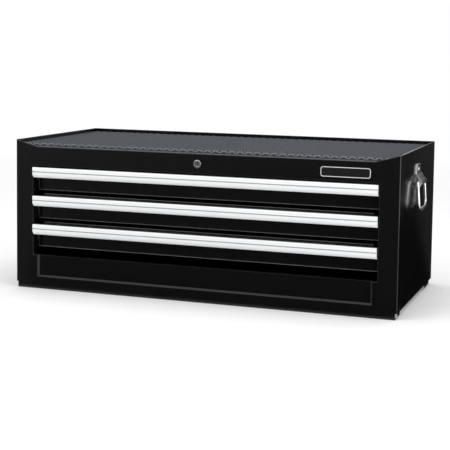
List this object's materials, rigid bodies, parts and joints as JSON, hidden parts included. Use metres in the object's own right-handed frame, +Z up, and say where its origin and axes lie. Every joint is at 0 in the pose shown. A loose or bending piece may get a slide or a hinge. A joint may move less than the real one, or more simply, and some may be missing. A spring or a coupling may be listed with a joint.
{
  "type": "intermediate tool chest",
  "caption": "Low sheet-steel tool chest with full-width drawers on ball slides, aluminium pulls, a keyed lock, side drop handles and a matted top tray that another chest stacks on.",
  "frame": {"origin": "on the ground, under the middle of the object's box", "axes": "+Z up, the drawers open towards -Y, +X to the right of someone facing the drawers"},
  "size_m": [0.6912, 0.3176, 0.2564],
  "materials": {
    "case_paint": "gloss black powder coat",
    "drawer_paint": "gloss black powder coat",
    "pull_aluminium": "satin anodised",
    "handle_chrome": "bright plated",
    "lock_chrome": "bright plated",
    "slide_zinc": "zinc plated",
    "lock_steel": "zinc plated",
    "ball_steel": "polished",
    "rivet_steel": "painted over",
    "mat_rubber": "matte, textured",
    "liner_rubber": "matte, ribbed",
    "plate": "satin rim, black field"
  },
  "bodies": {
    "cabinet": {"front_frame": "case_paint", "left_side_panel": "case_paint", "right_side_panel": "case_paint", "back_panel": "case_paint", "back_rivets": "rivet_steel", "bottom_panel": "case_paint", "top_tray": "case_paint", "top_mat": "mat_rubber", "name_plate": "plate", "left_front_post": "case_paint", "right_front_post": "case_paint", "left_rear_post": "case_paint", "right_rear_post": "case_paint", "lock_cylinder": "lock_chrome", "lock_nut": "lock_steel", "lock_bar_guides": "lock_steel", "left_handle_bracket": "handle_chrome", "right_handle_bracket": "handle_chrome", "left_handle_rivets": "handle_chrome", "right_handle_rivets": "handle_chrome", "drawer_1_left_case_rail": "slide_zinc", "drawer_1_right_case_rail": "slide_zinc", "drawer_2_left_case_rail": "slide_zinc", "drawer_2_right_case_rail": "slide_zinc", "drawer_3_left_case_rail": "slide_zinc", "drawer_3_right_case_rail": "slide_zinc"},
    "drawer_1": {"drawer_1_pan": "drawer_paint", "drawer_1_front": "drawer_paint", "drawer_1_pull": "pull_aluminium", "drawer_1_liner": "liner_rubber", "drawer_1_left_drawer_rail": "slide_zinc", "drawer_1_right_drawer_rail": "slide_zinc"},
    "carriage_1": {"drawer_1_left_ball_cage": "slide_zinc", "drawer_1_right_ball_cage": "slide_zinc", "drawer_1_balls": "ball_steel"},
    "drawer_2": {"drawer_2_pan": "drawer_paint", "drawer_2_front": "drawer_paint", "drawer_2_pull": "pull_aluminium", "drawer_2_liner": "liner_rubber", "drawer_2_left_drawer_rail": "slide_zinc", "drawer_2_right_drawer_rail": "slide_zinc"},
    "carriage_2": {"drawer_2_left_ball_cage": "slide_zinc", "drawer_2_right_ball_cage": "slide_zinc", "drawer_2_balls": "ball_steel"},
    "drawer_3": {"drawer_3_pan": "drawer_paint", "drawer_3_front": "drawer_paint", "drawer_3_pull": "pull_aluminium", "drawer_3_liner": "liner_rubber", "drawer_3_left_drawer_rail": "slide_zinc", "drawer_3_right_drawer_rail": "slide_zinc"},
    "carriage_3": {"drawer_3_left_ball_cage": "slide_zinc", "drawer_3_right_ball_cage": "slide_zinc", "drawer_3_balls": "ball_steel"},
    "lock_core": {"lock_plug": "lock_chrome", "lock_cam": "lock_steel", "cam_screw": "lock_steel"},
    "lock_bar": {"lock_bar": "lock_steel"},
    "left_bail": {"left_bail": "handle_chrome"},
    "right_bail": {"right_bail": "handle_chrome"}
  },
  "joints": [
    {"name": "drawer_1_slide", "type": "slide", "parent": "cabinet", "child": "drawer_1", "axis": [0, -1, 0], "range_m": [0, 0.2]},
    {"name": "carriage_1_slide", "type": "slide", "parent": "cabinet", "child": "carriage_1", "axis": [0, -1, 0], "range_m": [0, 0.1]},
    {"name": "drawer_2_slide", "type": "slide", "parent": "cabinet", "child": "drawer_2", "axis": [0, -1, 0], "range_m": [0, 0.2]},
    {"name": "carriage_2_slide", "type": "slide", "parent": "cabinet", "child": "carriage_2", "axis": [0, -1, 0], "range_m": [0, 0.1]},
    {"name": "drawer_3_slide", "type": "slide", "parent": "cabinet", "child": "drawer_3", "axis": [0, -1, 0], "range_m": [0, 0.2]},
    {"name": "carriage_3_slide", "type": "slide", "parent": "cabinet", "child": "carriage_3", "axis": [0, -1, 0], "range_m": [0, 0.1]},
    {"name": "lock_turn", "type": "hinge", "parent": "cabinet", "child": "lock_core", "pos_m": [0, -0.15335, 0.2286], "axis": [0, -1, 0], "range_deg": [0, 90]},
    {"name": "lock_bar_lift", "type": "slide", "parent": "cabinet", "child": "lock_bar", "axis": [0, 0, 1], "range_m": [0, 0.00848]},
    {"name": "left_bail_swing", "type": "hinge", "parent": "cabinet", "child": "left_bail", "pos_m": [-0.3395, -0.00735, 0.2019], "axis": [0, 1, 0], "range_deg": [0, 86]},
    {"name": "right_bail_swing", "type": "hinge", "parent": "cabinet", "child": "right_bail", "pos_m": [0.3395, -0.00735, 0.2019], "axis": [0, -1, 0], "range_deg": [0, 86]}
  ],
  "couplings": [
    {"joint": "carriage_1_slide", "follows": "drawer_1_slide", "ratio": 0.5},
    {"joint": "carriage_2_slide", "follows": "drawer_2_slide", "ratio": 0.5},
    {"joint": "carriage_3_slide", "follows": "drawer_3_slide", "ratio": 0.5},
    {"joint": "lock_turn", "follows": "lock_bar_lift", "rad_per_m": 185.1}
  ]
}
